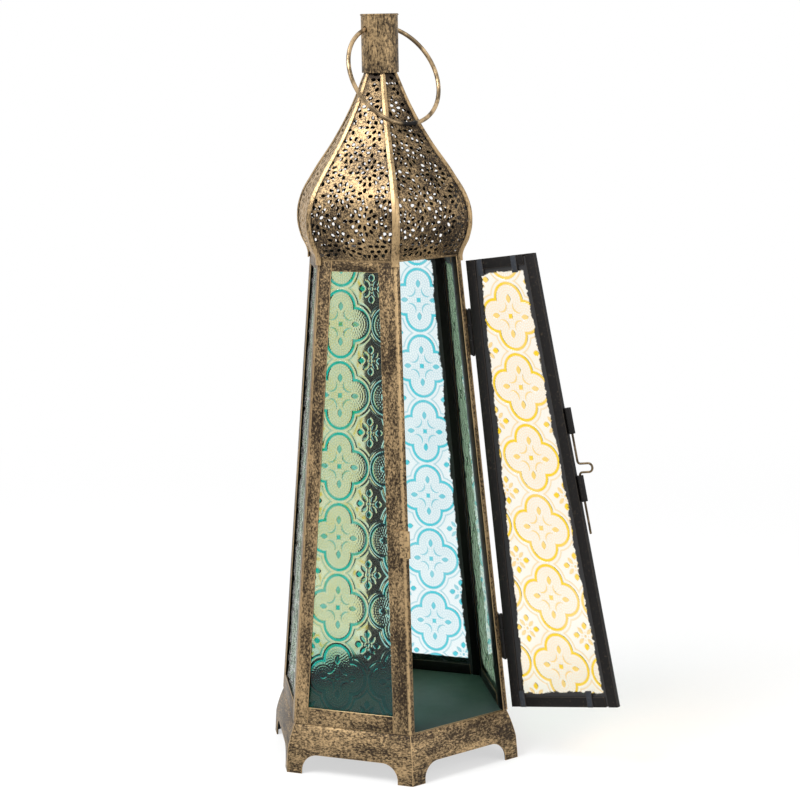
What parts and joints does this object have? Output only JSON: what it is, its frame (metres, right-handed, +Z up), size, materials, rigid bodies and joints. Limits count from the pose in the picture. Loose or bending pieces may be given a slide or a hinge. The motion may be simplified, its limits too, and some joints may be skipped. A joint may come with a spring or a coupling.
{
  "type": "candle lantern",
  "caption": "Six-sided tapered metal lantern with embossed coloured glass panes, a latched hinged door, a pierced onion dome and a hanging ring.",
  "frame": {"origin": "centre of the six feet, on the plane they stand on", "axes": "+Z up through the dome, -Y towards the door opening, +X towards the hinge side's far corner"},
  "size_m": [0.1384, 0.1751, 0.38],
  "materials": {
    "antique_brass": "antique brass, rubbed over black",
    "blackened_metal": "black patina, satin, uneven",
    "wire_brass": "drawn wire, dulled",
    "amber_glass": "embossed, stained",
    "aqua_glass": "embossed, stained",
    "green_glass": "embossed, stained"
  },
  "bodies": {
    "lantern": {"skirt": "antique_brass", "floor_plate": "blackened_metal", "crown_plate": "blackened_metal", "collar": "antique_brass", "latch_catch": "antique_brass", "post_front": "antique_brass", "post_right": "antique_brass", "post_left": "antique_brass", "post_far_left": "antique_brass", "post_back": "antique_brass", "post_far_right": "antique_brass", "rail_bottom_front_left": "antique_brass", "rail_top_front_left": "antique_brass", "pane_front_left": "aqua_glass", "rail_bottom_far_left": "antique_brass", "rail_top_far_left": "antique_brass", "pane_far_left": "green_glass", "rail_bottom_back_left": "antique_brass", "rail_top_back_left": "antique_brass", "pane_back_left": "amber_glass", "rail_bottom_back_right": "antique_brass", "rail_top_back_right": "antique_brass", "pane_back_right": "aqua_glass", "rail_bottom_right": "antique_brass", "rail_top_right": "antique_brass", "pane_right": "green_glass", "dome_panel_1": "antique_brass", "rib_1": "antique_brass", "dome_panel_2": "antique_brass", "rib_2": "antique_brass", "dome_panel_3": "antique_brass", "rib_3": "antique_brass", "dome_panel_4": "antique_brass", "rib_4": "antique_brass", "dome_panel_5": "antique_brass", "rib_5": "antique_brass", "dome_panel_6": "antique_brass", "rib_6": "antique_brass", "hinge_leaf_fixed_lower": "blackened_metal", "hinge_pin_lower": "blackened_metal", "hinge_leaf_fixed_upper": "blackened_metal", "hinge_pin_upper": "blackened_metal"},
    "door": {"latch_sleeve_upper": "blackened_metal", "latch_sleeve_lower": "blackened_metal", "door_stile_free": "blackened_metal", "door_stile_hinge": "blackened_metal", "door_rail_top": "blackened_metal", "door_rail_bottom": "blackened_metal", "door_pane": "amber_glass", "hinge_leaf_door_lower": "blackened_metal", "hinge_leaf_door_upper": "blackened_metal", "door_tab_top_1": "antique_brass", "door_tab_top_2": "antique_brass", "door_tab_bottom_1": "antique_brass", "door_tab_bottom_2": "antique_brass"},
    "bolt": {"latch_bolt": "wire_brass"},
    "ring": {"ring": "wire_brass"}
  },
  "joints": [
    {"name": "door_hinge", "type": "hinge", "parent": "lantern", "child": "door", "pos_m": [0.03265, -0.05699, 0.025], "axis": [-0.0477, 0.0827, 0.9954], "range_deg": [-110.5, 64.5]},
    {"name": "latch_bolt_slide", "type": "slide", "parent": "door", "child": "bolt", "axis": [-0.0809, 0.1712, 0.9819], "range_m": [0, 0.0132]},
    {"name": "ring_swing", "type": "hinge", "parent": "lantern", "child": "ring", "pos_m": [0, 0, 0.3724], "axis": [-1, 0, 0], "range_deg": [0, 307.6]}
  ]
}
